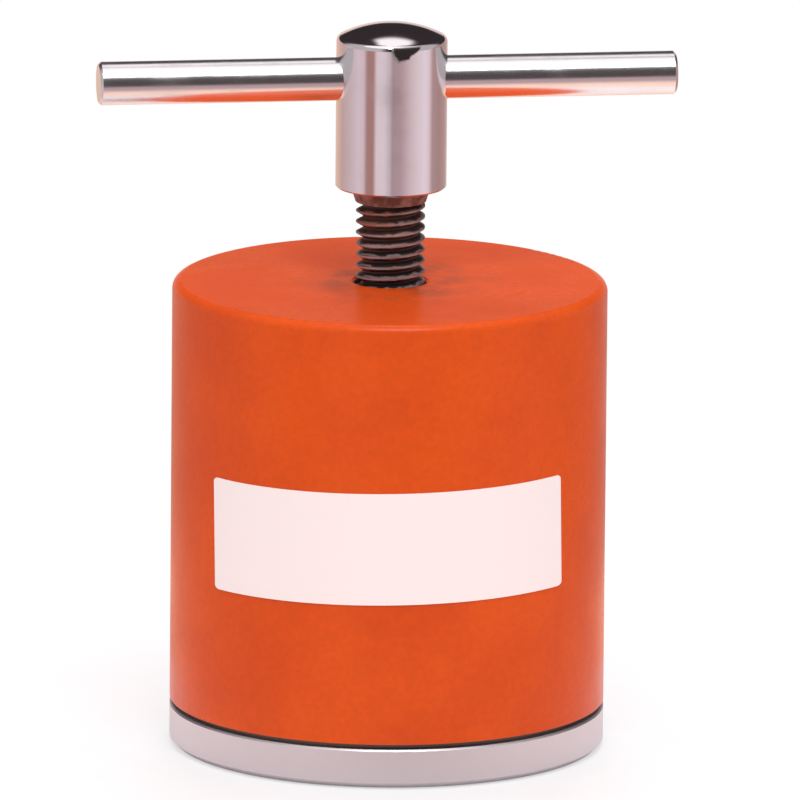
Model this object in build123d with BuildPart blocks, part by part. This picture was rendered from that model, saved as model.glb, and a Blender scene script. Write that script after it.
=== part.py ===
"""Deep pot magnet with a jack screw that pushes it off the steel that it holds.

Millimetres, +Z up. The origin is the centre of the keeper plate's underside, +Z runs up
the screw's axis and the label faces -Y. Every height is built up from the keeper.
"""

import math
import os

from build123d import *

# Steel cup, open end down
pot_diameter = 100.0
pot_height = 99.0
pot_wall = 11.0
pot_top_thickness = 16.0
pot_edge_radius = 2.0
rim_step_height = 1.2
rim_step_depth = 1.5
hole_mouth_chamfer = 0.8

# Keeper plate across the poles
keeper_thickness = 9.0
keeper_top_chamfer = 0.4
keeper_bottom_chamfer = 1.2

# Magnet stack in the cup
pole_gap = 8.0
inner_pole_thickness = 14.0
gap_ring_thickness = 8.0
guide_tube_wall = 1.6
magnet_edge_chamfer = 0.8
bond_line = 0.02

# Label on the cup's side
label_width = 79.3
label_height = 26.0
label_thickness = 0.2
label_bond_line = 0.05
label_drop = 39.0
label_tilt = 1.0
label_corner_radius = 1.0

# Screw thread, right-hand, ten turns to the inch
thread_diameter = 15.875
thread_pitch = 2.54
thread_depth_ratio = 0.6134
crest_flat_ratio = 0.125
flank_angle = 30.0
flank_points = 6
thread_clearance = 0.2
thread_run_out = 4.0
travel_turns = 7

# Plain lengths of the screw
shank_diameter = 12.4
nose_diameter = 9.0
nose_end_chamfer = 0.5
nose_shoulder_gap = 0.5
spigot_length = 16.0
spigot_end_gap = 0.5

# Swivelling pad on the screw's nose
pad_diameter = 20.0
pad_clearance = 0.3
pad_height = 18.0
pad_floor = 4.0
pad_edge_chamfer = 1.0
ball_diameter = 8.0
ball_gap = 0.05
pivot_clearance = 0.08
ring_thickness = 1.2
ring_height_in_pad = 14.15
ring_outer_diameter = 10.8
ring_opening_angle = 40.0
nose_groove_depth = 1.0
nose_groove_play = 0.15
ring_radial_play = 0.3

# Barrel head, whose neck stops short of the cup at the end of the travel
head_diameter = 25.5
neck_stop_gap = 1.02
head_height = 34.9
dome_height = 3.3
head_edge_chamfer = 0.4
head_rim_radius = 1.5
neck_height = 3.3
neck_top_diameter = 18.4
neck_bottom_diameter = 16.3

# Bar through the head
bar_diameter = 10.0
bar_length = 133.5
bar_rise = 25.4
bar_offset = -1.0
bar_yaw = 8.0
bar_end_chamfer = 0.6

# Socket grub screws in the back of the head
grub_diameter = 6.0
grub_length = 6.0
grub_socket_width = 3.0
grub_socket_depth = 2.5
grub_edge_chamfer = 0.5
lower_grub_rise = 8.0

# Heights of the main faces
pole_face = keeper_thickness
rim_step_top = pole_face + rim_step_height
pot_top = pole_face + pot_height
cup_roof = pot_top - pot_top_thickness
pole_back = pole_face + inner_pole_thickness
neck_bottom = pot_top + travel_turns * thread_pitch + neck_stop_gap
head_bottom = neck_bottom + neck_height
head_rim = head_bottom + head_height
dome_top = head_rim + dome_height
bar_height = head_bottom + bar_rise
thread_start = cup_roof - thread_run_out
spigot_top = head_bottom + spigot_length
pad_top = pole_face + pad_height
pad_seat = pole_face + pad_floor
ball_centre = pad_seat + ball_diameter / 2
nose_end = pad_seat + ball_diameter + ball_gap
nose_shoulder = pad_top + nose_shoulder_gap
ring_bottom = pole_face + ring_height_in_pad
ring_top = ring_bottom + ring_thickness

# Radii worked out from the sizes above
pot_radius = pot_diameter / 2
cup_bore_radius = pot_radius - pot_wall
pole_radius = cup_bore_radius - pole_gap
guide_radius = pad_diameter / 2 + pad_clearance
tube_radius = guide_radius + guide_tube_wall
thread_crest_radius = thread_diameter / 2
thread_depth = thread_depth_ratio * thread_pitch
thread_root_radius = thread_crest_radius - thread_depth
crest_flat = crest_flat_ratio * thread_pitch
shank_radius = shank_diameter / 2
nose_radius = nose_diameter / 2
head_radius = head_diameter / 2
dome_radius = (head_radius**2 + dome_height**2) / (2 * dome_height)
bar_radius = bar_diameter / 2
ring_outer_radius = ring_outer_diameter / 2
groove_radius = nose_radius - nose_groove_depth


def thread_section(root_radius, crest_radius, crest_width):
    """The outline that a single-start thread shows when it is cut square to its axis.

    The outline's crest lies at -X. Its flanks are spirals, whose radius grows evenly
    with the angle, because the thread's flanks are straight in a lengthwise cut.
    """
    flank_width = (crest_radius - root_radius) * math.tan(math.radians(flank_angle))
    crest_angle = 360 * crest_width / thread_pitch
    flank_turn = 360 * flank_width / thread_pitch
    rising = []
    for step in range(flank_points + 1):
        share = step / flank_points
        radius = root_radius + share * (crest_radius - root_radius)
        angle = math.radians(180 - crest_angle / 2 - flank_turn * (1 - share))
        rising.append((radius * math.cos(angle), radius * math.sin(angle)))
    falling = [(x, -y) for x, y in reversed(rising)]
    with BuildSketch() as section:
        with BuildLine():
            Spline(*rising)
            ThreePointArc(rising[-1], (-crest_radius, 0), falling[0])
            Spline(*falling)
            ThreePointArc(falling[-1], (root_radius, 0), rising[0])
        make_face()
    return section.sketch.faces()[0]


def thread_solid(section, low, high):
    """The section twisted up from one height to another, as one closed solid.

    The section's angle follows the height, so threads made here are in mesh. It is
    twisted in steps of about a turn, whose helical faces and outer ends are then joined.
    """
    count = math.ceil((high - low) / thread_pitch)
    rise = (high - low) / count
    degrees_per_mm = 360 / thread_pitch
    faces = []
    for index in range(count):
        foot = low + index * rise
        turned = section.rotate(Axis.Z, degrees_per_mm * foot)
        placed = turned.moved(Location((0, 0, foot)))
        twist = Solid.extrude_linear_with_rotation(
            placed, (0, 0, foot), (0, 0, rise), degrees_per_mm * rise
        )
        stacked = twist.faces().sort_by(Axis.Z)
        first = 0 if index == 0 else 1
        last = len(stacked) if index == count - 1 else len(stacked) - 1
        faces.extend(stacked[first:last])
    return Solid(Shell(faces))


os.makedirs("parts", exist_ok=True)

# Steel cup with its tapped top plate
tap_section = thread_section(
    thread_root_radius + thread_clearance,
    thread_crest_radius + thread_clearance,
    crest_flat + 2 * thread_clearance * math.tan(math.radians(flank_angle)),
)
with BuildPart() as pot_body:
    with BuildSketch(Plane.XZ):
        with BuildLine():
            Polyline(
                (0, cup_roof),
                (cup_bore_radius, cup_roof),
                (cup_bore_radius, pole_face),
                (pot_radius - rim_step_depth, pole_face),
                (pot_radius - rim_step_depth, rim_step_top),
                (pot_radius, rim_step_top),
                (pot_radius, pot_top),
                (0, pot_top),
                close=True,
            )
        make_face()
    revolve(axis=Axis.Z)
    outer_top_edge = pot_body.edges().filter_by(GeomType.CIRCLE).group_by(Axis.Z)[-1]
    fillet(outer_top_edge, radius=min(pot_edge_radius, pot_wall / 2))
    add(thread_solid(tap_section, cup_roof, pot_top), mode=Mode.SUBTRACT, clean=False)
    mouth_radius = thread_crest_radius + thread_clearance + hole_mouth_chamfer
    with BuildSketch(Plane.XZ):
        with BuildLine():
            Polyline(
                (0, pot_top - mouth_radius), (mouth_radius, pot_top), (0, pot_top), close=True
            )
        make_face()
    revolve(axis=Axis.Z, mode=Mode.SUBTRACT)
pot_body.part.label = "pot_body"
export_step(pot_body.part, "parts/pot_body.step")

# Two ring magnets, one on the other, between the inner pole and the cup's roof
magnet_height = (cup_roof - pole_back) / 2
for index, name in enumerate(("magnet_lower", "magnet_upper")):
    foot = pole_back + index * magnet_height
    with BuildPart() as magnet:
        with BuildSketch(Plane.XY.offset(foot)):
            Circle(pole_radius)
            Circle(tube_radius + bond_line, mode=Mode.SUBTRACT)
        extrude(amount=magnet_height)
        chamfer(
            magnet.edges().filter_by(GeomType.CIRCLE),
            length=min(magnet_edge_chamfer, magnet_height / 4),
        )
    magnet.part.label = name
    export_step(magnet.part, f"parts/{name}.step")

# Inner pole, ground level with the cup's rim
with BuildPart() as inner_pole:
    with BuildSketch(Plane.XY.offset(pole_face)):
        Circle(pole_radius)
        Circle(guide_radius, mode=Mode.SUBTRACT)
    extrude(amount=inner_pole_thickness)
inner_pole.part.label = "inner_pole"
export_step(inner_pole.part, "parts/inner_pole.step")

# Non-magnetic ring that closes the gap between the two poles
gap_ring_top = pole_face + gap_ring_thickness
with BuildPart() as gap_ring:
    with BuildSketch(Plane.XY.offset(pole_face)):
        Circle(cup_bore_radius - bond_line)
        Circle(pole_radius + bond_line, mode=Mode.SUBTRACT)
    extrude(amount=gap_ring_thickness)
gap_ring.part.label = "gap_ring"
export_step(gap_ring.part, "parts/gap_ring.step")

# Tube that lines the magnets' bore
with BuildPart() as guide_tube:
    with BuildSketch(Plane.XY.offset(pole_back)):
        Circle(tube_radius)
        Circle(guide_radius, mode=Mode.SUBTRACT)
    extrude(amount=cup_roof - pole_back)
guide_tube.part.label = "guide_tube"
export_step(guide_tube.part, "parts/guide_tube.step")

# Potting between the magnets and the cup's wall
with BuildPart() as resin_fill:
    with BuildSketch(Plane.XY.offset(gap_ring_top)):
        Circle(cup_bore_radius - bond_line)
        Circle(pole_radius + bond_line, mode=Mode.SUBTRACT)
    extrude(amount=cup_roof - gap_ring_top)
resin_fill.part.label = "resin_fill"
export_step(resin_fill.part, "parts/resin_fill.step")

# Label: a thin skin round the front of the cup, cut out by a tilted rectangle
label_inner_radius = pot_radius + label_bond_line
label_middle = pot_top - label_drop - label_height / 2
with BuildPart() as label:
    with BuildSketch(Plane.XY.offset(label_middle - label_height)):
        Circle(label_inner_radius + label_thickness)
        Circle(label_inner_radius, mode=Mode.SUBTRACT)
    extrude(amount=2 * label_height)
    tilt = math.radians(label_tilt)
    baseline = (math.cos(tilt), 0, math.sin(tilt))
    with BuildSketch(Plane(origin=(0, 0, label_middle), x_dir=baseline, z_dir=(0, -1, 0))):
        RectangleRounded(label_width, label_height, label_corner_radius)
    extrude(amount=pot_diameter, mode=Mode.INTERSECT)
label.part.label = "label"
export_step(label.part, "parts/label.step")

# Jack screw: nose with a groove, plain shank, thread and a spigot for the head
screw_section = thread_section(thread_root_radius, thread_crest_radius, crest_flat)
groove_bottom = ring_bottom - nose_groove_play
groove_top = ring_top + nose_groove_play
with BuildPart() as jack_screw:
    with BuildSketch(Plane.XZ):
        with BuildLine():
            Polyline(
                (0, nose_end),
                (nose_radius - nose_end_chamfer, nose_end),
                (nose_radius, nose_end + nose_end_chamfer),
                (nose_radius, groove_bottom),
                (groove_radius, groove_bottom),
                (groove_radius, groove_top),
                (nose_radius, groove_top),
                (nose_radius, nose_shoulder),
                (shank_radius, nose_shoulder),
                (shank_radius, spigot_top),
                (0, spigot_top),
                close=True,
            )
        make_face()
    revolve(axis=Axis.Z)
    add(thread_solid(screw_section, thread_start, neck_bottom), clean=False)
jack_screw.part.label = "jack_screw"
export_step(jack_screw.part, "parts/jack_screw.step")

# Barrel head: coned neck, straight barrel and domed top, with a blind bore for the spigot
across_bar = Plane.XY.rotated((0, 0, bar_yaw))
bar_axis_plane = Plane(
    origin=across_bar.x_dir * bar_offset + Vector(0, 0, bar_height), z_dir=across_bar.x_dir
)
grub_heights = (head_bottom + lower_grub_rise, bar_height)
with BuildPart() as screw_head:
    with BuildSketch(Plane.XZ) as head_profile:
        with BuildLine():
            Polyline(
                (0, dome_top),
                (0, neck_bottom),
                (neck_bottom_diameter / 2, neck_bottom),
                (neck_top_diameter / 2, head_bottom),
                (head_radius - head_edge_chamfer, head_bottom),
                (head_radius, head_bottom + head_edge_chamfer),
                (head_radius, head_rim),
            )
            RadiusArc((0, dome_top), (head_radius, head_rim), dome_radius)
        make_face()
        rim_corner = head_profile.vertices().group_by(Axis.X)[-1].sort_by(Axis.Y)[-1]
        fillet(rim_corner, radius=min(head_rim_radius, head_radius / 2))
    revolve(axis=Axis.Z)
    with BuildSketch(Plane.XY.offset(neck_bottom)):
        Circle(shank_radius + bond_line)
    extrude(amount=spigot_top + spigot_end_gap - neck_bottom, mode=Mode.SUBTRACT)
    with BuildSketch(bar_axis_plane):
        Circle(bar_radius + bond_line)
    extrude(amount=head_diameter, both=True, mode=Mode.SUBTRACT)
    for height in grub_heights:
        with BuildSketch(Plane(origin=(0, 0, height), z_dir=across_bar.y_dir)):
            Circle(grub_diameter / 2 + bond_line)
        extrude(amount=head_diameter, mode=Mode.SUBTRACT)
screw_head.part.label = "screw_head"
export_step(screw_head.part, "parts/screw_head.step")

# Bar through the head
with BuildPart() as t_bar:
    with BuildSketch(bar_axis_plane):
        Circle(bar_radius)
    extrude(amount=bar_length / 2, both=True)
    bar_ends = t_bar.faces().filter_by(GeomType.PLANE).edges()
    chamfer(bar_ends, length=bar_end_chamfer)
t_bar.part.label = "t_bar"
export_step(t_bar.part, "parts/t_bar.step")

# Two grub screws: the lower one bears on the spigot, the upper one on the bar
grub_tips = (shank_radius + bond_line, bar_radius + bond_line)
with BuildPart() as set_screws:
    for height, tip in zip(grub_heights, grub_tips):
        tip_centre = across_bar.y_dir * tip + Vector(0, 0, height)
        with BuildSketch(Plane(origin=tip_centre, z_dir=across_bar.y_dir)):
            Circle(grub_diameter / 2)
        extrude(amount=grub_length)
        socket_centre = across_bar.y_dir * (tip + grub_length) + Vector(0, 0, height)
        with BuildSketch(Plane(origin=socket_centre, z_dir=across_bar.y_dir)):
            RegularPolygon(grub_socket_width / 2, 6, major_radius=False)
        extrude(amount=-grub_socket_depth, mode=Mode.SUBTRACT)
    chamfer(
        set_screws.edges().filter_by(GeomType.CIRCLE),
        length=grub_edge_chamfer,
    )
set_screws.part.label = "set_screws"
export_step(set_screws.part, "parts/set_screws.step")

# Pad on the nose, with an inner groove for the retaining ring
with BuildPart() as thrust_pad:
    with BuildSketch(Plane.XZ):
        with BuildLine():
            Polyline(
                (0, pole_face),
                (pad_diameter / 2 - pad_edge_chamfer, pole_face),
                (pad_diameter / 2, pole_face + pad_edge_chamfer),
                (pad_diameter / 2, pad_top - pad_edge_chamfer),
                (pad_diameter / 2 - pad_edge_chamfer, pad_top),
                (nose_radius + pivot_clearance, pad_top),
                (nose_radius + pivot_clearance, ring_top + bond_line),
                (ring_outer_radius + bond_line, ring_top + bond_line),
                (ring_outer_radius + bond_line, ring_bottom - bond_line),
                (nose_radius + pivot_clearance, ring_bottom - bond_line),
                (nose_radius + pivot_clearance, pad_seat),
                (0, pad_seat),
                close=True,
            )
        make_face()
    revolve(axis=Axis.Z)
thrust_pad.part.label = "thrust_pad"
export_step(thrust_pad.part, "parts/thrust_pad.step")

# Ball between the pad's seat and the end of the nose
with BuildPart() as thrust_ball:
    with Locations((0, 0, ball_centre)):
        Sphere(ball_diameter / 2)
thrust_ball.part.label = "thrust_ball"
export_step(thrust_ball.part, "parts/thrust_ball.step")

# Open wire ring that keeps the pad on the nose
ring_inner_radius = groove_radius + ring_radial_play
with BuildPart() as retaining_ring:
    with BuildSketch(Plane.XY.offset(ring_bottom)):
        Circle(ring_outer_radius)
        Circle(ring_inner_radius, mode=Mode.SUBTRACT)
    extrude(amount=ring_thickness)
    opening_half_width = ring_outer_radius * math.tan(math.radians(ring_opening_angle / 2))
    with BuildSketch(Plane.XY.offset(ring_bottom)):
        with BuildLine():
            Polyline(
                (0, 0),
                (-opening_half_width, ring_outer_radius),
                (opening_half_width, ring_outer_radius),
                close=True,
            )
        make_face()
    extrude(amount=ring_thickness, mode=Mode.SUBTRACT)
retaining_ring.part.label = "retaining_ring"
export_step(retaining_ring.part, "parts/retaining_ring.step")

# Keeper plate
with BuildPart() as keeper_plate:
    with BuildSketch(Plane.XZ):
        with BuildLine():
            Polyline(
                (0, 0),
                (pot_radius - keeper_bottom_chamfer, 0),
                (pot_radius, keeper_bottom_chamfer),
                (pot_radius, keeper_thickness - keeper_top_chamfer),
                (pot_radius - keeper_top_chamfer, keeper_thickness),
                (0, keeper_thickness),
                close=True,
            )
        make_face()
    revolve(axis=Axis.Z)
keeper_plate.part.label = "keeper_plate"
export_step(keeper_plate.part, "parts/keeper_plate.step")
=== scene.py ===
"""Looks of a deep pot magnet with a jack screw: finishes, studio, lamps and camera.

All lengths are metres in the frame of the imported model: +Z runs up the screw's axis, the
label faces -Y and the keeper's underside lies at zero.
"""

import logging
import math
from abc import ABC, abstractmethod
from dataclasses import dataclass, field
from enum import Enum
from typing import Any, ClassVar, Optional, Union

import bmesh
import bpy
from mathutils import Matrix, Vector


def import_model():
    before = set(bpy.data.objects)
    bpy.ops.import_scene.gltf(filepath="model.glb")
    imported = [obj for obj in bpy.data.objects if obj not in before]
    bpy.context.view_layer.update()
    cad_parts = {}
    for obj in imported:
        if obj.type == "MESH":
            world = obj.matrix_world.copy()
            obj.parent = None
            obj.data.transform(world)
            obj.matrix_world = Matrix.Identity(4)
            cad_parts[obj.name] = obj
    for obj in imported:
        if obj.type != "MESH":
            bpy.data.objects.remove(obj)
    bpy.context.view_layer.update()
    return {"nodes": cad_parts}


LOG = logging.getLogger("pot_magnet")
MM = 0.001

# The levels between which nearly all of a noise lies
NOISE_LOW = 0.3
NOISE_HIGH = 0.7

Colour = tuple[float, float, float]
Value = Union[float, tuple, bpy.types.NodeSocket]


def shade(red: int, green: int, blue: int) -> Colour:
    """Turn a colour on the screen's 0 to 255 scale into the linear colour of a shader.

    Args:
        red: The colour's red.
        green: The colour's green.
        blue: The colour's blue.

    Returns:
        The linear red, green and blue.
    """
    linear = []
    for part in (red, green, blue):
        share = part / 255
        linear.append(share / 12.92 if share <= 0.04045 else ((share + 0.055) / 1.055) ** 2.4)
    return (linear[0], linear[1], linear[2])


class Graph:
    """Adds and joins the nodes of one node tree."""

    def __init__(self, tree: bpy.types.NodeTree) -> None:
        """Start on a tree, which may already hold nodes.

        Args:
            tree: The node tree to add to.
        """
        self.tree = tree

    def feed(self, socket: bpy.types.NodeSocket, value: Optional[Value]) -> None:
        """Give an input a constant, or join it to another node's output.

        Args:
            socket: The input to feed.
            value: A number, a colour, a vector, an output socket, or None to leave it.
        """
        if value is None:
            return
        if isinstance(value, bpy.types.NodeSocket):
            self.tree.links.new(value, socket)
        elif socket.type == "RGBA" and len(value) == 3:
            socket.default_value = (*value, 1.0)
        else:
            socket.default_value = value

    def node(
        self,
        kind: str,
        inputs: Optional[dict[Union[str, int], Optional[Value]]] = None,
        **settings: Any,
    ) -> bpy.types.Node:
        """Add a node.

        Args:
            kind: The node's type, without its ShaderNode prefix.
            inputs: What each named or numbered input is given.
            **settings: The node's own settings.

        Returns:
            The new node.
        """
        made = self.tree.nodes.new("ShaderNode" + kind)
        for name, setting in settings.items():
            setattr(made, name, setting)
        for key, value in (inputs or {}).items():
            self.feed(made.inputs[key], value)
        return made

    def math(
        self, operation: str, first: Value, second: Optional[Value] = None
    ) -> bpy.types.NodeSocket:
        """Add a Math node.

        Args:
            operation: The node's operation.
            first: Its first number.
            second: Its second number, where the operation has one.

        Returns:
            The node's result.
        """
        return self.node("Math", {0: first, 1: second}, operation=operation).outputs[0]

    def ramp(
        self, value: Value, start: Value, end: Value, low: float = 0.0, high: float = 1.0
    ) -> bpy.types.NodeSocket:
        """Turn a value into a smooth step that runs from one level to another.

        Args:
            value: What is measured.
            start: Where the step starts.
            end: Where the step ends.
            low: The level before the step.
            high: The level after the step.

        Returns:
            The stepped level.
        """
        made = self.node(
            "MapRange",
            {"Value": value, "From Min": start, "From Max": end, "To Min": low, "To Max": high},
            interpolation_type="SMOOTHSTEP",
        )
        return made.outputs["Result"]

    def blend(
        self, factor: Value, first: Value, second: Value, mode: str = "MIX"
    ) -> bpy.types.NodeSocket:
        """Mix two colours.

        Args:
            factor: The share of the second colour.
            first: The first colour.
            second: The second colour.
            mode: How they are mixed.

        Returns:
            The mixed colour.
        """
        made = self.node("Mix", data_type="RGBA", blend_type=mode)
        self.feed(made.inputs[0], factor)
        self.feed(made.inputs[6], first)
        self.feed(made.inputs[7], second)
        return made.outputs[2]

    def noise(
        self,
        vector: Optional[Value],
        scale: Value,
        detail: float = 3.0,
        roughness: float = 0.5,
        distortion: float = 0.0,
    ) -> bpy.types.NodeSocket:
        """Add a three-dimensional noise.

        Args:
            vector: Where it is read.
            scale: Its features per metre.
            detail: Its octaves.
            roughness: How strong the finer octaves are.
            distortion: How much it is warped.

        Returns:
            The noise's level, about 0.5 on average.
        """
        made = self.node(
            "TexNoise",
            {
                "Vector": vector,
                "Scale": scale,
                "Detail": detail,
                "Roughness": roughness,
                "Distortion": distortion,
            },
        )
        return made.outputs["Fac"]

    def grey(self, level: Value) -> bpy.types.NodeSocket:
        """Turn a level into a grey colour.

        Args:
            level: The red, green and blue of the grey.

        Returns:
            The grey.
        """
        return self.node("CombineColor", {0: level, 1: level, 2: level}).outputs[0]

    def place(self) -> bpy.types.NodeSocket:
        """Give the point's place on its object."""
        return self.node("TexCoord").outputs["Object"]

    def axes(self, place: Value) -> bpy.types.NodeOutputs:
        """Split a place into its X, Y and Z.

        Args:
            place: The place.

        Returns:
            The three outputs.
        """
        return self.node("SeparateXYZ", {0: place}).outputs

    def radius(self, place: Value) -> bpy.types.NodeSocket:
        """Measure how far a place lies from the Z axis.

        Args:
            place: The place.

        Returns:
            The distance.
        """
        parts = self.axes(place)
        flat = self.node("CombineXYZ", {0: parts[0], 1: parts[1]}).outputs[0]
        return self.node("VectorMath", {0: flat}, operation="LENGTH").outputs["Value"]

    def stretch(self, vector: Value, scale: tuple[float, float, float]) -> bpy.types.NodeSocket:
        """Stretch a place along the axes.

        Args:
            vector: The place.
            scale: The factor along each axis.

        Returns:
            The stretched place.
        """
        return self.node("Mapping", {"Vector": vector, "Scale": scale}).outputs[0]


class Group(ABC):
    """A shader node group that several materials share, built once."""

    title: str
    inputs: dict[str, str]
    outputs: dict[str, str]

    def tree(self) -> bpy.types.NodeTree:
        """Build the group, or find it if it is built already.

        Returns:
            The group's node tree.
        """
        found = bpy.data.node_groups.get(self.title)
        if found:
            return found
        tree = bpy.data.node_groups.new(self.title, "ShaderNodeTree")
        for name, kind in self.inputs.items():
            tree.interface.new_socket(name, in_out="INPUT", socket_type="NodeSocket" + kind)
        for name, kind in self.outputs.items():
            tree.interface.new_socket(name, in_out="OUTPUT", socket_type="NodeSocket" + kind)
        graph = Graph(tree)
        source = tree.nodes.new("NodeGroupInput")
        sink = tree.nodes.new("NodeGroupOutput")
        for name, socket in self.build(graph, source.outputs).items():
            tree.links.new(socket, sink.inputs[name])
        return tree

    def use(self, graph: Graph, **values: Value) -> bpy.types.NodeOutputs:
        """Place the group in a material.

        Args:
            graph: The material's graph.
            **values: What each of the group's inputs is given.

        Returns:
            The group's outputs.
        """
        made = graph.tree.nodes.new("ShaderNodeGroup")
        made.node_tree = self.tree()
        for name, value in values.items():
            graph.feed(made.inputs[name], value)
        return made.outputs

    @abstractmethod
    def build(
        self, graph: Graph, given: bpy.types.NodeOutputs
    ) -> dict[str, bpy.types.NodeSocket]:
        """Build the inside of the group.

        Args:
            graph: The group's graph.
            given: The group's inputs, as outputs of its input node.

        Returns:
            What each of the group's outputs is joined to.
        """


class Mottle(Group):
    """Cloudy patches with finer grain in them."""

    title = "mottle"
    inputs = {"place": "Vector", "patches": "Float", "grain": "Float"}
    outputs = {"mask": "Float", "fine": "Float"}
    cloud_roughness = 0.55
    patch_from = 0.35
    patch_to = 0.68

    def build(
        self, graph: Graph, given: bpy.types.NodeOutputs
    ) -> dict[str, bpy.types.NodeSocket]:
        """Build the inside of the group.

        Args:
            graph: The group's graph.
            given: The place, and the patches and grains per metre.

        Returns:
            The patches' mask and the grain.
        """
        cloud = graph.noise(given["place"], given["patches"], 4.0, self.cloud_roughness)
        fine = graph.noise(given["place"], given["grain"], 2.0)
        return {"mask": graph.ramp(cloud, self.patch_from, self.patch_to), "fine": fine}


class TurnedRings(Group):
    """The rings that a lathe or grinder leaves round the Z axis."""

    title = "turned_rings"
    inputs = {"place": "Vector", "rings": "Float"}
    outputs = {"height": "Float", "tone": "Float"}
    tone_share = 0.12

    def build(
        self, graph: Graph, given: bpy.types.NodeOutputs
    ) -> dict[str, bpy.types.NodeSocket]:
        """Build the inside of the group.

        Args:
            graph: The group's graph.
            given: The place, and the rings per metre.

        Returns:
            The rings' height, and a slower change of tone from ring to ring.
        """
        across = graph.math("ADD", graph.radius(given["place"]), graph.axes(given["place"])[2])
        broad = graph.math("MULTIPLY", given["rings"], self.tone_share)
        return {
            "height": self.line_noise(graph, across, given["rings"], 3.0),
            "tone": self.line_noise(graph, across, broad, 1.0),
        }

    @staticmethod
    def line_noise(
        graph: Graph, across: Value, scale: Value, detail: float
    ) -> bpy.types.NodeSocket:
        """Add a noise that changes along one measure only.

        Args:
            graph: The group's graph.
            across: The measure.
            scale: Its features per metre.
            detail: Its octaves.

        Returns:
            The noise's level.
        """
        inputs = {"W": across, "Scale": scale, "Detail": detail}
        return graph.node("TexNoise", inputs, noise_dimensions="1D").outputs["Fac"]


class HandlingMarks(Group):
    """Smears and hairline scratches on a polished face."""

    title = "handling_marks"
    inputs = {"place": "Vector", "smears": "Float", "scratches": "Float"}
    outputs = {"smear": "Float", "scratch": "Float"}
    smear_from = 0.42
    smear_to = 0.75
    scratch_stretch = (0.3, 1.0, 4.0)
    scratch_width = 0.012

    def build(
        self, graph: Graph, given: bpy.types.NodeOutputs
    ) -> dict[str, bpy.types.NodeSocket]:
        """Build the inside of the group.

        Args:
            graph: The group's graph.
            given: The place, and the smears and scratches per metre.

        Returns:
            The smears' mask and the scratches' mask.
        """
        cloud = graph.noise(given["place"], given["smears"], 3.0, 0.6)
        smear = graph.ramp(cloud, self.smear_from, self.smear_to)
        drawn = graph.stretch(given["place"], self.scratch_stretch)
        lines = graph.noise(drawn, given["scratches"], 1.0, 0.4, 0.6)
        near = graph.math("ABSOLUTE", graph.math("SUBTRACT", lines, 0.5))
        return {"smear": smear, "scratch": graph.ramp(near, self.scratch_width, 0.0)}


MOTTLE = Mottle()
RINGS = TurnedRings()
MARKS = HandlingMarks()


@dataclass(frozen=True)
class Finish(ABC):
    """One finish, which becomes one material."""

    title: str
    bump_strength: ClassVar[float]

    def material(self) -> bpy.types.Material:
        """Build the material, or find it if it is built already.

        Returns:
            The finish's material.
        """
        found = bpy.data.materials.get(self.title)
        if found:
            return found
        made = bpy.data.materials.new(self.title)
        made.use_nodes = True
        made.node_tree.nodes.clear()
        graph = Graph(made.node_tree)
        shader = graph.node("BsdfPrincipled")
        end = graph.node("OutputMaterial")
        made.node_tree.links.new(shader.outputs[0], end.inputs[0])
        self.paint(graph, shader)
        return made

    @abstractmethod
    def paint(self, graph: Graph, shader: bpy.types.Node) -> None:
        """Set the shader's inputs.

        Args:
            graph: The material's graph.
            shader: The material's Principled shader.
        """

    def bump(self, graph: Graph, shader: bpy.types.Node, height: Value, depth: float) -> None:
        """Raise and sink the surface's shading.

        Args:
            graph: The material's graph.
            shader: The shader whose normal is bumped.
            height: The height from 0 to 1.
            depth: How deep a height of 1 is, in metres.
        """
        inputs = {"Height": height, "Distance": depth, "Strength": self.bump_strength}
        made = graph.node("Bump", inputs)
        graph.feed(shader.inputs["Normal"], made.outputs[0])


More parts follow.
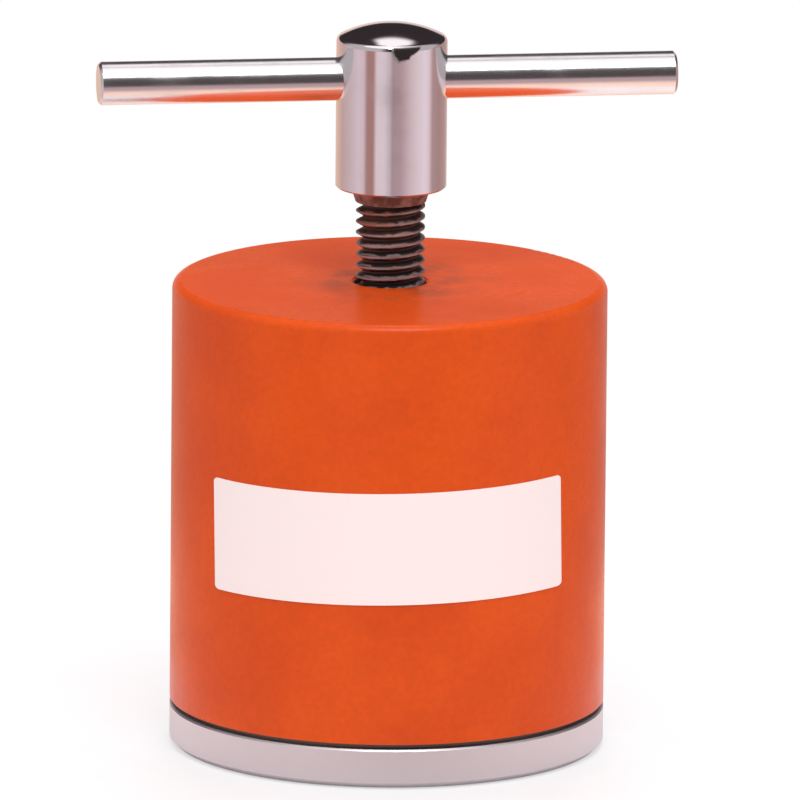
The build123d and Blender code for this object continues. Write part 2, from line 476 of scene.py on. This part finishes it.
@dataclass(frozen=True)
class CupEnamel(Finish):
    """Sprayed orange enamel, with bare steel in the tapped hole and on the cup's rim."""

    colour: Colour = shade(218, 78, 14)
    deep_colour: Colour = shade(209, 71, 13)
    near_screw_dark_colour: Colour = shade(150, 66, 38)
    bare_colour: Colour = (0.13, 0.10, 0.09)
    hole_radius: float = 8.3 * MM
    darkening_radius: float = 30.0 * MM
    rim_top: float = 10.2 * MM
    edge_blur: float = 0.1 * MM
    gloss: float = 0.2
    patches: float = 38.0
    grain: float = 650.0
    speckle: float = 0.035
    blotches: float = 110.0
    darkening_share: float = 0.85
    smooth_roughness: float = 0.27
    patch_roughness: float = 0.33
    bare_roughness: float = 0.45
    peel: float = 700.0
    peel_depth: float = 0.012 * MM
    blotch_from: float = 0.38
    blotch_to: float = 0.72
    bump_strength: ClassVar[float] = 0.35

    def paint(self, graph: Graph, shader: bpy.types.Node) -> None:
        """Set the shader's inputs.

        Args:
            graph: The material's graph.
            shader: The material's Principled shader.
        """
        place = graph.place()
        mottle = MOTTLE.use(graph, place=place, patches=self.patches, grain=self.grain)
        radius = graph.radius(place)
        in_hole = graph.ramp(radius, self.hole_radius + 2 * self.edge_blur, self.hole_radius)
        on_rim = graph.ramp(graph.axes(place)[2], self.rim_top + self.edge_blur, self.rim_top)
        bare = graph.math("MAXIMUM", in_hole, on_rim)
        enamel = graph.blend(mottle["mask"], self.colour, self.deep_colour)
        tone = graph.ramp(
            mottle["fine"], NOISE_LOW, NOISE_HIGH, 1.0 - self.speckle, 1.0 + self.speckle
        )
        enamel = graph.blend(1.0, enamel, graph.grey(tone), "MULTIPLY")
        # The enamel is darker in blotches towards the screw, out to a radius of 30 mm from its
        # axis.
        blotched = graph.ramp(graph.noise(place, self.blotches, 4.0, 0.6), self.blotch_from, self.blotch_to)
        near_screw = graph.ramp(radius, self.darkening_radius, self.hole_radius, 0.0, self.darkening_share)
        enamel = graph.blend(graph.math("MULTIPLY", blotched, near_screw), enamel, self.near_screw_dark_colour)
        graph.feed(shader.inputs["Base Color"], graph.blend(bare, enamel, self.bare_colour))
        graph.feed(shader.inputs["Metallic"], bare)
        soft = graph.ramp(mottle["mask"], 0.0, 1.0, self.smooth_roughness, self.patch_roughness)
        rough = graph.math("MAXIMUM", soft, graph.math("MULTIPLY", bare, self.bare_roughness))
        graph.feed(shader.inputs["Roughness"], rough)
        shader.inputs["Specular IOR Level"].default_value = self.gloss
        self.bump(graph, shader, graph.noise(place, self.peel, 1.0, 0.4), self.peel_depth)


@dataclass(frozen=True)
class LabelFilm(Finish):
    """Pale matt film with no print on it."""

    colour: Colour = shade(247, 222, 225)
    worn_colour: Colour = shade(243, 206, 207)
    worn_share: float = 0.6
    patches: float = 60.0
    grain: float = 1500.0
    smooth_roughness: float = 0.5
    grain_roughness: float = 0.62
    grain_depth: float = 0.03 * MM
    bump_strength: ClassVar[float] = 0.4

    def paint(self, graph: Graph, shader: bpy.types.Node) -> None:
        """Set the shader's inputs.

        Args:
            graph: The material's graph.
            shader: The material's Principled shader.
        """
        place = graph.place()
        mottle = MOTTLE.use(graph, place=place, patches=self.patches, grain=self.grain)
        worn = graph.math("MULTIPLY", mottle["mask"], self.worn_share)
        graph.feed(shader.inputs["Base Color"], graph.blend(worn, self.colour, self.worn_colour))
        rough = graph.ramp(
            mottle["fine"], NOISE_LOW, NOISE_HIGH, self.smooth_roughness, self.grain_roughness
        )
        graph.feed(shader.inputs["Roughness"], rough)
        self.bump(graph, shader, mottle["fine"], self.grain_depth)


@dataclass(frozen=True)
class Chrome(Finish):
    """Bright chrome plate with smears and hairline scratches."""

    colour: Colour = (0.86, 0.84, 0.85)
    smear_colour: Colour = (0.78, 0.75, 0.76)
    roughness: float = 0.09
    metallic: float = 1.0
    hairline: float = 0.0012 * MM
    smears: float = 70.0
    scratches: float = 160.0
    smear_share: float = 0.5
    smear_haze: float = 0.07
    bump_strength: ClassVar[float] = 0.35

    def paint(self, graph: Graph, shader: bpy.types.Node) -> None:
        """Set the shader's inputs.

        Args:
            graph: The material's graph.
            shader: The material's Principled shader.
        """
        colour, rough, scratch = self.plate(graph, graph.place())
        graph.feed(shader.inputs["Base Color"], colour)
        graph.feed(shader.inputs["Roughness"], rough)
        shader.inputs["Metallic"].default_value = self.metallic
        self.bump(graph, shader, scratch, self.hairline)

    def plate(
        self, graph: Graph, place: Value
    ) -> tuple[bpy.types.NodeSocket, bpy.types.NodeSocket, bpy.types.NodeSocket]:
        """Work out the plate's colour, roughness and scratches.

        Args:
            graph: The material's graph.
            place: The place on the piece.

        Returns:
            The colour, the roughness and the scratches' mask.
        """
        marks = MARKS.use(graph, place=place, smears=self.smears, scratches=self.scratches)
        tint = graph.math("MULTIPLY", marks["smear"], self.smear_share)
        colour = graph.blend(tint, self.colour, self.smear_colour)
        hazy = self.roughness + self.smear_haze
        return colour, graph.ramp(marks["smear"], 0.0, 1.0, self.roughness, hazy), marks["scratch"]


@dataclass(frozen=True)
class HeadChrome(Chrome):
    """Chrome whose plate is gone at the neck, with a painted dark reflection hanging from the front
    of the rim.
    """

    neck_colour: Colour = (0.13, 0.075, 0.06)
    patch_colour: Colour = (0.30, 0.20, 0.185)
    painted_reflection_colour: Colour = (0.02, 0.014, 0.013)
    neck_from: float = 130.6 * MM
    neck_to: float = 129.6 * MM
    reflection_aside: float = 3.3 * MM
    reflection_top: float = 165.4 * MM
    reflection_height: float = 4.0 * MM
    reflection_width: float = 3.8 * MM
    reflection_lean: float = 0.4
    reflection_edge: float = 1.4
    reflection_blur: float = 0.15
    worn_and_reflection_roughness: float = 0.5
    worn_and_reflection_metallic: float = 0.35
    rust_grain: float = 420.0
    rust_thin: float = 0.35
    rust_thick: float = 0.65
    front_from: float = -3 * MM
    front_to: float = -5 * MM

    def paint(self, graph: Graph, shader: bpy.types.Node) -> None:
        """Set the shader's inputs.

        Args:
            graph: The material's graph.
            shader: The material's Principled shader.
        """
        place = graph.place()
        colour, rough, scratch = self.plate(graph, place)
        rust = graph.noise(place, self.rust_grain)
        parts = graph.axes(place)
        neck = graph.ramp(parts[2], self.neck_from, self.neck_to)
        # A dark reflection below the front of the rim is painted into the colour. Together with the
        # bare neck it also sets the roughness and the metallic.
        painted_reflection = self.painted_reflection(graph, parts, rust)
        # worn holds the bare neck and the painted dark reflection below the rim
        worn = graph.math("MAXIMUM", neck, painted_reflection)
        thick = graph.ramp(rust, self.rust_thin, self.rust_thick)
        patchy = graph.blend(thick, self.neck_colour, self.patch_colour)
        colour = graph.blend(painted_reflection, graph.blend(neck, colour, patchy), self.painted_reflection_colour)
        graph.feed(shader.inputs["Base Color"], colour)
        dull = graph.math("MULTIPLY", worn, self.worn_and_reflection_roughness)
        graph.feed(shader.inputs["Roughness"], graph.math("MAXIMUM", rough, dull))
        metallic = graph.ramp(worn, 0.0, 1.0, self.metallic, self.worn_and_reflection_metallic)
        graph.feed(shader.inputs["Metallic"], metallic)
        self.bump(graph, shader, scratch, self.hairline)

    def painted_reflection(
        self, graph: Graph, parts: bpy.types.NodeOutputs, ragged: Value
    ) -> bpy.types.NodeSocket:
        """Mask the painted dark reflection: a ragged patch that hangs from the rim's front and
        narrows downwards.

        Args:
            graph: The material's graph.
            parts: The place's X, Y and Z.
            ragged: The noise that makes its edge uneven.

        Returns:
            The painted reflection's mask.
        """
        down = graph.math("SUBTRACT", self.reflection_top, parts[2])
        share = graph.math("DIVIDE", down, self.reflection_height)
        lean = graph.math("MULTIPLY", down, self.reflection_lean)
        aside = graph.math("ADD", graph.math("SUBTRACT", parts[0], self.reflection_aside), lean)
        wide = graph.math("POWER", graph.math("DIVIDE", aside, self.reflection_width), 2.0)
        reach = graph.math("ADD", graph.math("ADD", wide, share), ragged)
        in_front = graph.ramp(parts[1], self.front_from, self.front_to)
        below_rim = graph.ramp(share, 0.0, self.reflection_blur)
        placed = graph.math("MULTIPLY", in_front, below_rim)
        inside = graph.ramp(reach, self.reflection_edge + self.reflection_blur, self.reflection_edge - self.reflection_blur)
        return graph.math("MULTIPLY", inside, placed)


@dataclass(frozen=True)
class TurnedSteel(Finish):
    """Turned or ground metal whose rings run round the Z axis."""

    colour: Colour = (0.60, 0.58, 0.57)
    low_colour: Colour = (0.50, 0.48, 0.47)
    roughness: float = 0.32
    rings: float = 2600.0
    depth: float = 0.02 * MM
    stain_share: float = 0.0
    stain_colour: Colour = (0.62, 0.30, 0.22)
    stain_stretch: tuple[float, float, float] = (1.0, 1.0, 6.0)
    stain_streaks: float = 60.0
    stain_from: float = 0.60
    stain_to: float = 0.74
    bump_strength: ClassVar[float] = 0.5
    patches: float = 55.0
    grain: float = 700.0
    clean_shift: float = -0.04
    patch_shift: float = 0.06

    def paint(self, graph: Graph, shader: bpy.types.Node) -> None:
        """Set the shader's inputs.

        Args:
            graph: The material's graph.
            shader: The material's Principled shader.
        """
        place = graph.place()
        rings = RINGS.use(graph, place=place, rings=self.rings)
        mottle = MOTTLE.use(graph, place=place, patches=self.patches, grain=self.grain)
        tone = graph.math("MULTIPLY", rings["tone"], mottle["mask"])
        colour = graph.blend(tone, self.colour, self.low_colour)
        if self.stain_share:
            drawn = graph.stretch(place, self.stain_stretch)
            streaks = graph.noise(drawn, self.stain_streaks, 4.0, 0.65)
            stain = graph.ramp(streaks, self.stain_from, self.stain_to, 0.0, self.stain_share)
            colour = graph.blend(stain, colour, self.stain_colour)
        graph.feed(shader.inputs["Base Color"], colour)
        shader.inputs["Metallic"].default_value = 1.0
        clean = self.roughness + self.clean_shift
        patchy = self.roughness + self.patch_shift
        graph.feed(shader.inputs["Roughness"], graph.ramp(mottle["mask"], 0.0, 1.0, clean, patchy))
        self.bump(graph, shader, rings["height"], self.depth)


@dataclass(frozen=True)
class ThreadSteel(Finish):
    """Worn thread steel: bright at the crests, with painted shade in the grooves, rusty near the
    head.
    """

    crest_colour: Colour = (0.56, 0.47, 0.48)
    painted_groove_shade_colour: Colour = (0.018, 0.012, 0.012)
    rust_colour: Colour = shade(138, 76, 52)
    rust_from: float = 114 * MM
    rust_to: float = 123 * MM
    rust_below: float = 0.06
    rust_above: float = 0.9
    rust_right: float = 7 * MM
    rust_left: float = -4 * MM
    rust_right_share: float = 0.35
    bloom_reach: float = 0.6
    bloom_least: float = 0.45
    groove_shade: float = 0.3
    bare_limit: float = 0.8
    groove_radius: float = 7.05 * MM
    crest_radius: float = 7.9 * MM
    wear_low: float = -0.4 * MM
    wear_high: float = 0.3 * MM
    steel_roughness: float = 0.38
    rust_roughness: float = 0.75
    patches: float = 260.0
    grain: float = 1800.0
    grain_depth: float = 0.03 * MM
    bump_strength: ClassVar[float] = 0.6

    def paint(self, graph: Graph, shader: bpy.types.Node) -> None:
        """Set the shader's inputs.

        Args:
            graph: The material's graph.
            shader: The material's Principled shader.
        """
        place = graph.place()
        mottle = MOTTLE.use(graph, place=place, patches=self.patches, grain=self.grain)
        parts = graph.axes(place)
        uneven = graph.ramp(mottle["mask"], 0.0, 1.0, self.wear_low, self.wear_high)
        worn_radius = graph.math("ADD", graph.radius(place), uneven)
        # worn is high at the worn crests and low in the grooves. The grooves are painted near black
        # and non-metallic as shade, and groove_shade darkens the rust there too.
        worn = graph.ramp(worn_radius, self.groove_radius, self.crest_radius)
        steel = graph.blend(worn, self.painted_groove_shade_colour, self.crest_colour)
        high = graph.ramp(
            parts[2], self.rust_from, self.rust_to, self.rust_below, self.rust_above
        )
        left = graph.ramp(parts[0], self.rust_right, self.rust_left, self.rust_right_share)
        bloom = graph.ramp(mottle["mask"], 0.0, self.bloom_reach, self.bloom_least)
        rust = graph.math("MULTIPLY", graph.math("MULTIPLY", high, left), bloom)
        shadow = graph.grey(graph.ramp(worn, 0.0, 1.0, self.groove_shade))
        rusty = graph.blend(1.0, self.rust_colour, shadow, "MULTIPLY")
        graph.feed(shader.inputs["Base Color"], graph.blend(rust, steel, rusty))
        bright = graph.ramp(rust, 0.0, self.bare_limit, 1.0, 0.0)
        graph.feed(shader.inputs["Metallic"], graph.math("MULTIPLY", worn, bright))
        rough = graph.ramp(rust, 0.0, 1.0, self.steel_roughness, self.rust_roughness)
        graph.feed(shader.inputs["Roughness"], rough)
        self.bump(graph, shader, mottle["fine"], self.grain_depth)


@dataclass(frozen=True)
class DullMass(Finish):
    """A rough cast or moulded mass, as of magnet alloy or potting resin."""

    colour: Colour = (0.10, 0.095, 0.09)
    low_colour: Colour = (0.06, 0.055, 0.05)
    metallic: float = 0.0
    roughness: float = 0.6
    grain: float = 900.0
    patches: float = 120.0
    patch_shift: float = 0.1
    grain_depth: float = 0.08 * MM
    bump_strength: ClassVar[float] = 0.6

    def paint(self, graph: Graph, shader: bpy.types.Node) -> None:
        """Set the shader's inputs.

        Args:
            graph: The material's graph.
            shader: The material's Principled shader.
        """
        place = graph.place()
        mottle = MOTTLE.use(graph, place=place, patches=self.patches, grain=self.grain)
        colour = graph.blend(mottle["mask"], self.colour, self.low_colour)
        graph.feed(shader.inputs["Base Color"], colour)
        shader.inputs["Metallic"].default_value = self.metallic
        patchy = self.roughness + self.patch_shift
        rough = graph.ramp(mottle["mask"], 0.0, 1.0, self.roughness, patchy)
        graph.feed(shader.inputs["Roughness"], rough)
        self.bump(graph, shader, mottle["fine"], self.grain_depth)


class Plate(Enum):
    """The finishes of the part's metal and moulded pieces."""

    HEAD = HeadChrome("head_chrome")
    BAR = Chrome("bar_chrome", roughness=0.2, metallic=0.97)
    THREAD = ThreadSteel("thread_steel")
    KEEPER = TurnedSteel(
        "keeper_zinc", (0.97, 0.89, 0.94), (0.90, 0.82, 0.87), 0.36, 1500.0, stain_share=0.5
    )
    GROUND = TurnedSteel("ground_steel", (0.56, 0.55, 0.54), (0.44, 0.43, 0.42), 0.28)
    BRASS = TurnedSteel("gap_brass", (0.80, 0.58, 0.27), (0.66, 0.45, 0.19), 0.3)
    HARD = TurnedSteel("hard_steel", (0.62, 0.61, 0.60), (0.52, 0.51, 0.50), 0.14)
    BLACK = DullMass("black_steel", (0.05, 0.05, 0.055), (0.03, 0.03, 0.033), 0.8, 0.38)
    ALLOY = DullMass("magnet_alloy", (0.21, 0.20, 0.19), (0.13, 0.12, 0.115), 0.9, 0.5)
    RESIN = DullMass("potting_resin", (0.035, 0.035, 0.04), (0.025, 0.025, 0.03), 0.0, 0.35)


@dataclass
class Assembly(ABC):
    """A sub-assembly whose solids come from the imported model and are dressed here."""

    nodes: dict[str, bpy.types.Object]

    @abstractmethod
    def finishes(self) -> dict[str, Finish]:
        """Name the finish of each node."""

    def dress(self) -> None:
        """Give every node of the sub-assembly its material."""
        for name, finish in self.finishes().items():
            mesh = self.nodes[name].data
            material = finish.material()
            if not mesh.materials:
                mesh.materials.append(material)
            for index in range(len(mesh.materials)):
                mesh.materials[index] = material
            LOG.info("%s is finished in %s", name, finish.title)


@dataclass
class Cup(Assembly):
    """The painted steel cup and the bare label round its side."""

    enamel: CupEnamel = field(default_factory=lambda: CupEnamel("cup_enamel"))
    film: LabelFilm = field(default_factory=lambda: LabelFilm("label_film"))

    def finishes(self) -> dict[str, Finish]:
        """Name the finish of each node."""
        return {"pot_body": self.enamel, "label": self.film}


@dataclass
class MagnetStack(Assembly):
    """What the cup holds: magnets, inner pole, gap ring, guide tube and resin."""

    def finishes(self) -> dict[str, Finish]:
        """Name the finish of each node."""
        return {
            "magnet_upper": Plate.ALLOY.value,
            "magnet_lower": Plate.ALLOY.value,
            "inner_pole": Plate.GROUND.value,
            "gap_ring": Plate.BRASS.value,
            "guide_tube": Plate.BRASS.value,
            "resin_fill": Plate.RESIN.value,
        }


@dataclass
class ScrewAndHandle(Assembly):
    """The jack screw with its barrel head, cross bar and grub screws."""

    def finishes(self) -> dict[str, Finish]:
        """Name the finish of each node."""
        return {
            "jack_screw": Plate.THREAD.value,
            "screw_head": Plate.HEAD.value,
            "t_bar": Plate.BAR.value,
            "set_screws": Plate.BLACK.value,
        }


@dataclass
class Foot(Assembly):
    """The swivelling pad on the screw's nose, its ball and its retaining ring."""

    def finishes(self) -> dict[str, Finish]:
        """Name the finish of each node."""
        return {
            "thrust_pad": Plate.GROUND.value,
            "thrust_ball": Plate.HARD.value,
            "retaining_ring": Plate.HARD.value,
        }


@dataclass
class Keeper(Assembly):
    """The bright disc across the poles."""

    def finishes(self) -> dict[str, Finish]:
        """Name the finish of each node."""
        return {"keeper_plate": Plate.KEEPER.value}


@dataclass(frozen=True)
class Flag:
    """One upright band of the studio's surroundings, as it is seen from the object.

    The azimuth is 0 in front of the label and grows to the right.
    """

    azimuth: float
    colour: Colour


@dataclass(frozen=True)
class Lamp:
    """A square area lamp that faces the object.

    The azimuth is 0 in front of the label and grows to the right.
    """

    title: str
    azimuth: float
    rise: float
    power: float
    mirrored: bool = True
    distance: float = 0.9
    width: float = 0.34
    aim: float = 80 * MM

    def hang(self) -> None:
        """Build the lamp and hang it in the scene."""
        data = bpy.data.lights.new(self.title, "AREA")
        data.shape = "SQUARE"
        data.size = self.width
        data.energy = self.power
        turn, tilt = math.radians(self.azimuth), math.radians(self.rise)
        away = Vector(
            (math.sin(turn) * math.cos(tilt), -math.cos(turn) * math.cos(tilt), math.sin(tilt))
        )
        lamp = bpy.data.objects.new(self.title, data)
        lamp.location = Vector((0, 0, self.aim)) + away * self.distance
        lamp.rotation_mode = "QUATERNION"
        lamp.rotation_quaternion = away.to_track_quat("Z", "Y")
        lamp.visible_glossy = self.mirrored
        bpy.context.collection.objects.link(lamp)


@dataclass(frozen=True)
class Studio:
    """Surroundings, floor and lamps.

    The surroundings are plain for light that falls on the object. Polished faces see a
    white ceiling, a grey camera side with a dark stripe, a dark far wall with a window high
    in it, and a pale table with upright bands. They see the floor tinted away from the keeper.
    """

    lamps: tuple[Lamp, ...] = (
        Lamp("front_lamp", 8.0, 60.0, 3.2),
        Lamp("far_lamp", 178.0, 54.0, 2.6, mirrored=False),
    )
    floor_radius: float = 0.32
    floor_sides: int = 128
    floor_drop: float = 0.3 * MM
    fade_from: float = 0.45
    fade_to: float = 0.98
    floor_glow: float = 0.55
    paper_grain: float = 90.0
    paper_tone: float = 0.985
    floor_colour: Colour = (0.84, 0.82, 0.84)
    mirrored_tint: Colour = (0.88, 0.62, 0.50)
    mirrored_from: float = 85 * MM
    mirrored_to: float = 130 * MM
    low_light: float = 0.70
    high_light: float = 0.92
    ceiling: Colour = (1.15, 1.10, 1.10)
    window: Colour = (1.15, 1.08, 1.10)
    table: tuple[Flag, ...] = (
        Flag(-180, (0.80, 0.65, 0.62)),
        Flag(-160, (0.82, 0.55, 0.42)),
        Flag(-140, (0.74, 0.48, 0.41)),
        Flag(-122, (0.58, 0.40, 0.38)),
        Flag(-94, (0.63, 0.49, 0.51)),
        Flag(-72, (0.73, 0.58, 0.64)),
        Flag(-60, (0.70, 0.54, 0.58)),
        Flag(-52, (0.40, 0.22, 0.21)),
        Flag(-38, (0.42, 0.20, 0.18)),
        Flag(-31, (0.78, 0.64, 0.68)),
        Flag(-14, (0.77, 0.65, 0.69)),
        Flag(-2, (0.58, 0.48, 0.52)),
        Flag(2, (0.45, 0.31, 0.34)),
        Flag(20, (0.49, 0.34, 0.36)),
        Flag(36, (0.66, 0.49, 0.53)),
        Flag(53, (0.76, 0.61, 0.65)),
        Flag(74, (0.85, 0.71, 0.77)),
        Flag(84, (0.80, 0.64, 0.68)),
        Flag(95, (0.46, 0.30, 0.30)),
        Flag(118, (0.42, 0.26, 0.25)),
        Flag(146, (0.50, 0.33, 0.30)),
        Flag(168, (0.70, 0.54, 0.50)),
        Flag(180, (0.80, 0.65, 0.62)),
    )
    walls: tuple[Flag, ...] = (
        Flag(-180, (0.03, 0.022, 0.025)),
        Flag(-125, (0.04, 0.03, 0.035)),
        Flag(-105, (0.50, 0.46, 0.48)),
        Flag(-25, (0.55, 0.50, 0.53)),
        Flag(-8, (0.03, 0.02, 0.022)),
        Flag(34, (0.03, 0.02, 0.022)),
        Flag(50, (0.50, 0.45, 0.47)),
        Flag(105, (0.50, 0.46, 0.48)),
        Flag(125, (0.04, 0.03, 0.035)),
        Flag(180, (0.03, 0.022, 0.025)),
    )
    table_edge_front: float = -9.0
    table_edge_back: float = 9.5
    wall_top_front: float = 44.0
    wall_top_back: float = 76.0
    window_sill: float = 52.0
    window_turn: float = 2.0
    window_reach: float = 18.0
    blur: float = 2.0
    ceiling_blur: float = 3.0
    window_blur: float = 3.0
    sill_blur: float = 4.0
    side_blur: float = 0.3

    @staticmethod
    def bands(
        graph: Graph, azimuth: bpy.types.NodeSocket, flags: tuple[Flag, ...]
    ) -> bpy.types.NodeSocket:
        """Lay flags out round the horizon.

        Args:
            graph: The world's graph.
            azimuth: The direction's azimuth in radians.
            flags: The flags, in the order of their azimuths.

        Returns:
            The colour seen at the azimuth.
        """
        turn = graph.math("ADD", graph.math("DIVIDE", azimuth, 2 * math.pi), 0.5)
        made = graph.node("ValToRGB", {0: turn})
        stops = made.color_ramp.elements
        for index, flag in enumerate(flags):
            spot = flag.azimuth / 360 + 0.5
            stop = stops[index] if index < 2 else stops.new(spot)
            stop.position = spot
            stop.color = (*flag.colour, 1.0)
        return made.outputs["Color"]

    def surround(self) -> None:
        """Build the world: white to the camera, plain as light, banded in reflections."""
        world = bpy.data.worlds.new("studio")
        world.use_nodes = True
        world.node_tree.nodes.clear()
        graph = Graph(world.node_tree)
        way = graph.node("TexCoord").outputs["Generated"]
        parts = graph.node("SeparateXYZ", {0: way}).outputs
        azimuth = graph.math("ARCTAN2", parts[0], graph.math("MULTIPLY", parts[1], -1.0))
        rise = graph.math("MULTIPLY", graph.math("ARCSINE", parts[2]), 180 / math.pi)
        table = self.bands(graph, azimuth, self.table)
        walls = self.bands(graph, azimuth, self.walls)
        behind = graph.ramp(parts[1], -self.side_blur, self.side_blur)
        top = graph.ramp(behind, 0.0, 1.0, self.wall_top_front, self.wall_top_back)
        over = graph.ramp(graph.math("SUBTRACT", rise, top), -self.blur, self.ceiling_blur)
        edge = graph.ramp(behind, 0.0, 1.0, self.table_edge_front, self.table_edge_back)
        above = graph.ramp(graph.math("SUBTRACT", rise, edge), -self.blur, self.blur)
        walls = graph.blend(self.window_mask(graph, parts, rise), walls, self.window)
        seen = graph.blend(over, graph.blend(above, table, walls), self.ceiling)
        plain = graph.grey(graph.ramp(parts[2], -1.0, 1.0, self.low_light, self.high_light))
        path = graph.node("LightPath").outputs
        lit = graph.blend(path["Is Glossy Ray"], plain, seen)
        shown = graph.math("MAXIMUM", path["Is Camera Ray"], path["Is Transmission Ray"])
        colour = graph.blend(shown, lit, (1.0, 1.0, 1.0))
        back = graph.node("Background", {"Color": colour, "Strength": 1.0})
        end = graph.node("OutputWorld")
        world.node_tree.links.new(back.outputs[0], end.inputs[0])
        bpy.context.scene.world = world

    def window_mask(
        self, graph: Graph, parts: bpy.types.NodeOutputs, rise: Value
    ) -> bpy.types.NodeSocket:
        """Mask the window high in the far wall.

        Args:
            graph: The world's graph.
            parts: The direction's X, Y and Z.
            rise: The direction's elevation in degrees.

        Returns:
            The window's mask.
        """
        turn = graph.math("ARCTAN2", parts[0], parts[1])
        degrees = graph.math("MULTIPLY", turn, 180 / math.pi)
        aside = graph.math("ABSOLUTE", graph.math("SUBTRACT", degrees, self.window_turn))
        across = graph.ramp(
            aside, self.window_reach + self.window_blur, self.window_reach - self.window_blur
        )
        high = graph.ramp(
            rise, self.window_sill - self.sill_blur, self.window_sill + self.sill_blur
        )
        return graph.math("MULTIPLY", across, high)

    def floor_material(self) -> bpy.types.Material:
        """Build the floor's material, which fades into the white surroundings.

        Returns:
            The floor's material.
        """
        made = bpy.data.materials.new("studio_floor")
        made.use_nodes = True
        made.node_tree.nodes.clear()
        graph = Graph(made.node_tree)
        place = graph.place()
        far = graph.node("VectorMath", {0: place}, operation="LENGTH").outputs["Value"]
        fade = graph.ramp(
            far, self.floor_radius * self.fade_from, self.floor_radius * self.fade_to
        )
        paper = graph.noise(place, self.paper_grain)
        tint = graph.grey(graph.ramp(paper, NOISE_LOW, NOISE_HIGH, self.paper_tone))
        colour = graph.blend(1.0, self.floor_colour, tint, "MULTIPLY")
        path = graph.node("LightPath").outputs
        apart = graph.ramp(far, self.mirrored_from, self.mirrored_to)
        mirrored = graph.math("MULTIPLY", path["Is Glossy Ray"], apart)
        lit = graph.node(
            "BsdfDiffuse", {"Color": graph.blend(mirrored, colour, self.mirrored_tint)}
        )
        glow = graph.node("Emission", {"Color": (1.0, 1.0, 1.0), "Strength": 1.0})
        clear = graph.node("BsdfTransparent")
        share = graph.math("MULTIPLY", path["Is Camera Ray"], self.floor_glow)
        bright = graph.node("MixShader", {0: share, 1: lit.outputs[0], 2: glow.outputs[0]})
        whole = graph.node("MixShader", {0: fade, 1: bright.outputs[0], 2: clear.outputs[0]})
        end = graph.node("OutputMaterial")
        made.node_tree.links.new(whole.outputs[0], end.inputs[0])
        return made

    def lay_floor(self) -> None:
        """Build the pale round floor just under the keeper."""
        shape = bmesh.new()
        bmesh.ops.create_circle(
            shape, cap_ends=True, segments=self.floor_sides, radius=self.floor_radius
        )
        bmesh.ops.translate(shape, verts=shape.verts, vec=(0, 0, -self.floor_drop))
        mesh = bpy.data.meshes.new("studio_floor")
        shape.to_mesh(mesh)
        shape.free()
        mesh.materials.append(self.floor_material())
        floor = bpy.data.objects.new("studio_floor", mesh)
        bpy.context.collection.objects.link(floor)

    def build(self) -> None:
        """Build the whole studio."""
        self.surround()
        self.lay_floor()
        for lamp in self.lamps:
            lamp.hang()
        LOG.info("studio built")


@dataclass(frozen=True)
class PhotoCamera:
    """A long lens that frames the object as the photograph does.

    The picture is 800 pixels wide. The middle of the cup's top face lies at cup_pixel,
    counted right and down from the picture's top left corner.
    """

    cup_top: float = 108 * MM
    cup_pixel: tuple[float, float] = (390.0, 280.4)
    picture_width: float = 800.0
    pixels_per_metre: float = 4355.0
    elevation: float = 12.5
    roll: float = 0.5
    distance: float = 5.0
    sensor: float = 36.0
    nearest: float = 0.1
    farthest: float = 50.0

    def build(self) -> None:
        """Build the camera and make it the scene's."""
        tilt, lean = math.radians(self.elevation), math.radians(self.roll)
        level_right = Vector((1, 0, 0))
        level_up = Vector((0, math.sin(tilt), math.cos(tilt)))
        back = Vector((0, -math.cos(tilt), math.sin(tilt)))
        right = level_right * math.cos(lean) + level_up * math.sin(lean)
        up = level_up * math.cos(lean) - level_right * math.sin(lean)
        middle = self.picture_width / 2
        aside = (middle - self.cup_pixel[0]) / self.pixels_per_metre
        below = (middle - self.cup_pixel[1]) / self.pixels_per_metre
        target = Vector((0, 0, self.cup_top)) + right * aside - up * below
        data = bpy.data.cameras.new("photo_camera")
        data.sensor_width = self.sensor
        data.lens = self.pixels_per_metre * self.distance * self.sensor / self.picture_width
        data.clip_start = self.nearest
        data.clip_end = self.farthest
        camera = bpy.data.objects.new("photo_camera", data)
        turn = Matrix((right, up, back)).transposed()
        camera.matrix_world = Matrix.Translation(target + back * self.distance) @ turn.to_4x4()
        bpy.context.collection.objects.link(camera)
        bpy.context.scene.camera = camera
        LOG.info("camera set %.1f degrees above the table", self.elevation)


def main() -> None:
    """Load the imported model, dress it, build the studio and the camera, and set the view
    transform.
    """
    logging.basicConfig(level=logging.INFO)
    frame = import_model()
    nodes = frame["nodes"]
    for assembly in (Cup, MagnetStack, ScrewAndHandle, Foot, Keeper):
        assembly(nodes).dress()
    Studio().build()
    PhotoCamera().build()
    view = bpy.context.scene.view_settings
    view.view_transform = "Standard"


if __name__ == "__main__":
    main()
